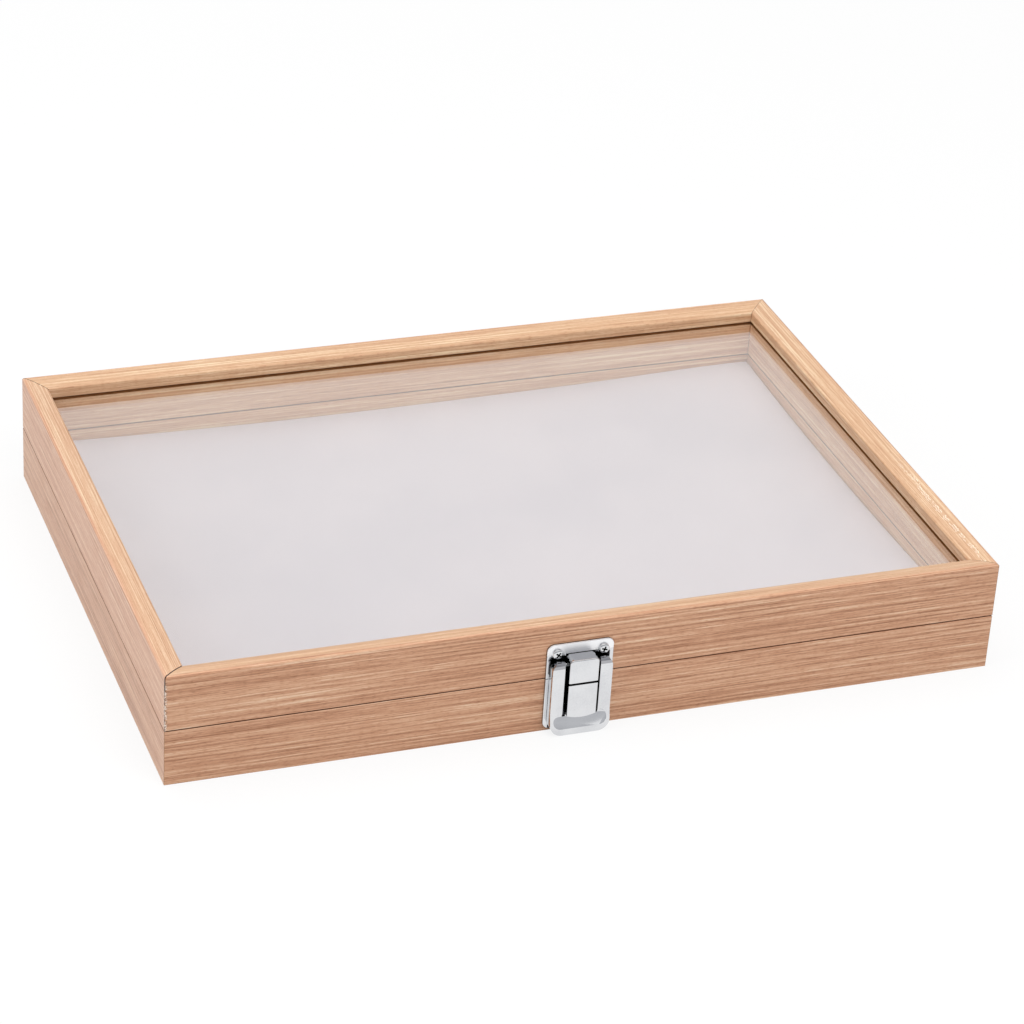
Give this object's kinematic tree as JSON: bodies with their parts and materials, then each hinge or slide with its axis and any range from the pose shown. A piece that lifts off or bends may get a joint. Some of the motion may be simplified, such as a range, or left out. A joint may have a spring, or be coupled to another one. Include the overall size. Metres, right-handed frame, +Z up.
{
  "type": "display case",
  "caption": "Shallow hinged wooden case with a glazed lid, a soft pad that pins are pushed into, and a snap hasp at the front.",
  "frame": {"origin": "middle of the underside, on the bottom board, in the plane that the case rests on", "axes": "+X along the front, +Y from the latched front to the hinged back, +Z up"},
  "size_m": [0.35, 0.2602, 0.049],
  "materials": {
    "oak_foil": "satin",
    "bottom_board": "matte",
    "pad_card": "matte",
    "pad_foam": "matte",
    "pad_cloth": "matte",
    "pane": "gloss",
    "latch_chrome": "polished",
    "hinge_plating": "satin",
    "nail_steel": "satin"
  },
  "bodies": {
    "base": {"base_front_rail": "oak_foil", "base_right_rail": "oak_foil", "base_back_rail": "oak_foil", "base_left_rail": "oak_foil", "base_corner_nails": "nail_steel", "bottom_panel": "bottom_board", "pad_board": "pad_card", "foam_pad": "pad_foam", "pad_cover": "pad_cloth", "left_hinge_base_leaf": "hinge_plating", "right_hinge_base_leaf": "hinge_plating", "left_hinge_pin": "hinge_plating", "right_hinge_pin": "hinge_plating", "hinge_base_screws": "hinge_plating", "latch_keeper_plate": "latch_chrome", "latch_keeper_screws": "latch_chrome"},
    "lid": {"lid_front_rail": "oak_foil", "lid_right_rail": "oak_foil", "lid_back_rail": "oak_foil", "lid_left_rail": "oak_foil", "lid_corner_nails": "nail_steel", "lid_glass": "pane", "left_hinge_lid_leaf": "hinge_plating", "right_hinge_lid_leaf": "hinge_plating", "hinge_lid_screws": "hinge_plating", "latch_top_plate": "latch_chrome", "latch_top_screws": "latch_chrome", "latch_pin": "latch_chrome"},
    "latch_flap": {"latch_flap": "latch_chrome"}
  },
  "joints": [
    {"name": "lid_hinge", "type": "hinge", "parent": "base", "child": "lid", "pos_m": [0, 0.12685, 0.0245], "axis": [-1, 0, 0], "range_deg": [0, 180]},
    {"name": "latch_flap_hinge", "type": "hinge", "parent": "lid", "child": "latch_flap", "pos_m": [-0.0069, -0.128, 0.0316], "axis": [-1, 0, 0], "range_deg": [0, 112]}
  ]
}
